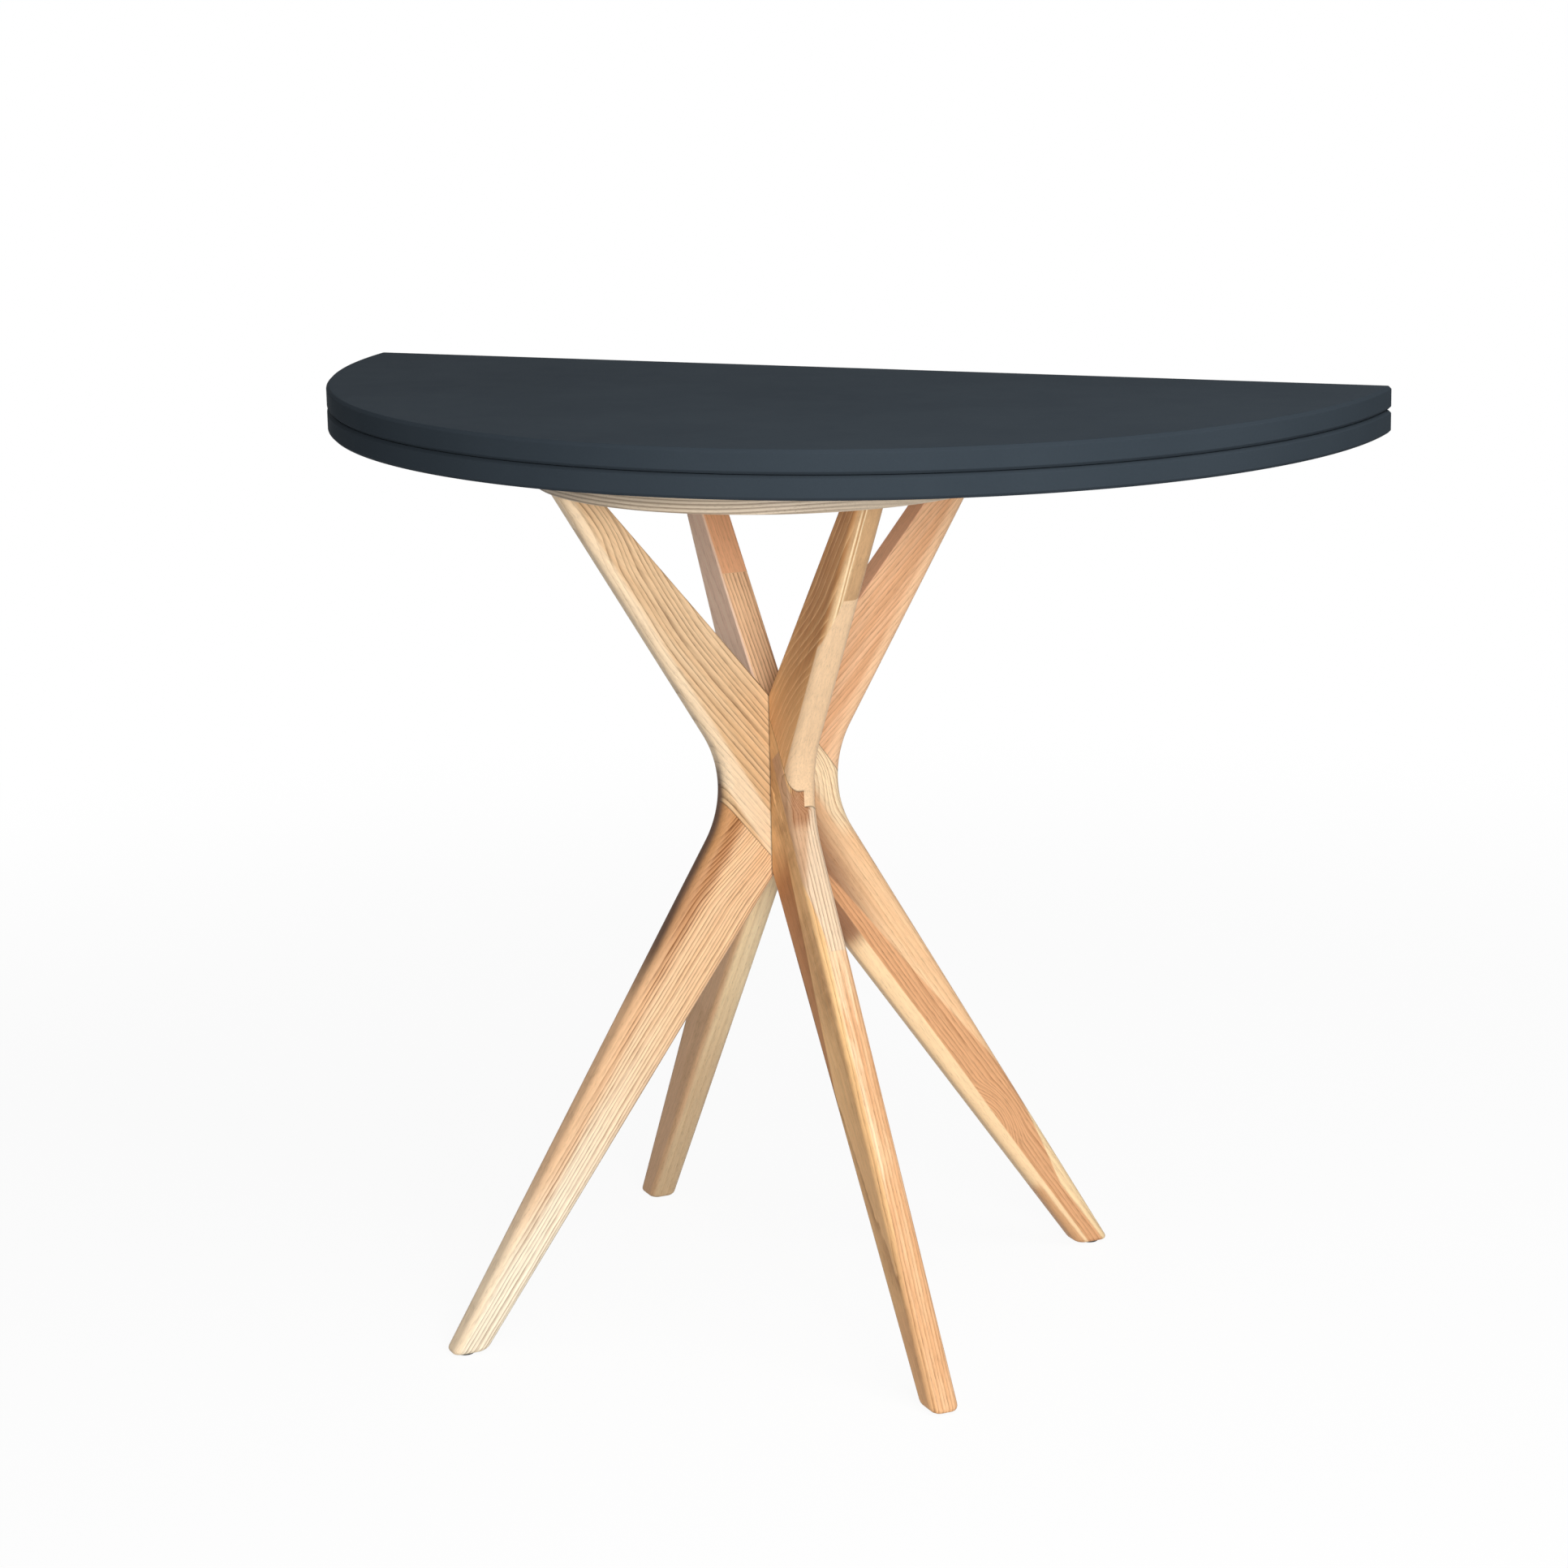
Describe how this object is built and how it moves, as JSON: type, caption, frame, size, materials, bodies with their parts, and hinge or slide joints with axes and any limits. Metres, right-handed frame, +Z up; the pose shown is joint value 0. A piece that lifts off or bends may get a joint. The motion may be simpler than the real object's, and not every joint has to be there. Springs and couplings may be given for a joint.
{
  "type": "extendable console table",
  "caption": "Half-moon console table on four crossed wooden legs; the top pivots a quarter turn and its upper leaf folds over to make a full round table.",
  "frame": {"origin": "on the floor, on the vertical axis of the four-legged base", "axes": "+X to the right along the straight edge, +Y towards the straight edge at the back, +Z up"},
  "size_m": [0.9, 0.4534, 0.745],
  "materials": {
    "lacquer": "satin slate lacquer on fibreboard",
    "ash_tan": "oiled ash, yellowish tan",
    "ash_cream": "oiled ash, cream",
    "ash_honey": "oiled ash, honey brown",
    "ash_peach": "oiled ash, peach",
    "ash_pink": "oiled ash, pinkish brown",
    "ash_khaki": "oiled ash, khaki",
    "ash_grey": "oiled ash, grey-beige edge",
    "beech": "plain beech dowel",
    "felt": "pressed felt",
    "nylon": "matte",
    "steel": "zinc-plated",
    "brass": "satin"
  },
  "bodies": {
    "base": {"leg_front_left": "ash_cream", "leg_front_right": "ash_honey", "leg_back_right": "ash_cream", "leg_back_left": "ash_khaki", "arm_front_left": "ash_tan", "arm_front_right": "ash_honey", "arm_back_right": "ash_peach", "arm_back_left": "ash_pink", "base_plate": "ash_grey", "glide_pads": "felt", "floor_glides": "felt", "arm_screws": "steel", "hub_dowels": "beech", "lap_dowels": "beech", "pivot_insert": "steel", "pivot_bolt": "steel", "lower_thrust_washer": "nylon", "upper_thrust_washer": "nylon", "stop_pin": "steel"},
    "top": {"lower_leaf": "lacquer", "pivot_plate": "steel", "pivot_plate_screws": "steel", "lower_hinge_flaps": "brass", "lower_hinge_screws": "brass", "hinge_pins": "steel"},
    "folding_leaf": {"upper_leaf": "lacquer", "upper_hinge_flaps": "brass", "upper_hinge_screws": "brass"}
  },
  "joints": [
    {"name": "top_pivot", "type": "hinge", "parent": "base", "child": "top", "pos_m": [0.11188, 0.11188, 0.7066], "axis": [0, 0, 1], "range_deg": [0, 90]},
    {"name": "leaf_hinge", "type": "hinge", "parent": "top", "child": "folding_leaf", "pos_m": [0, 0.22375, 0.7258], "axis": [-1, 0, 0], "range_deg": [0, 180]}
  ]
}
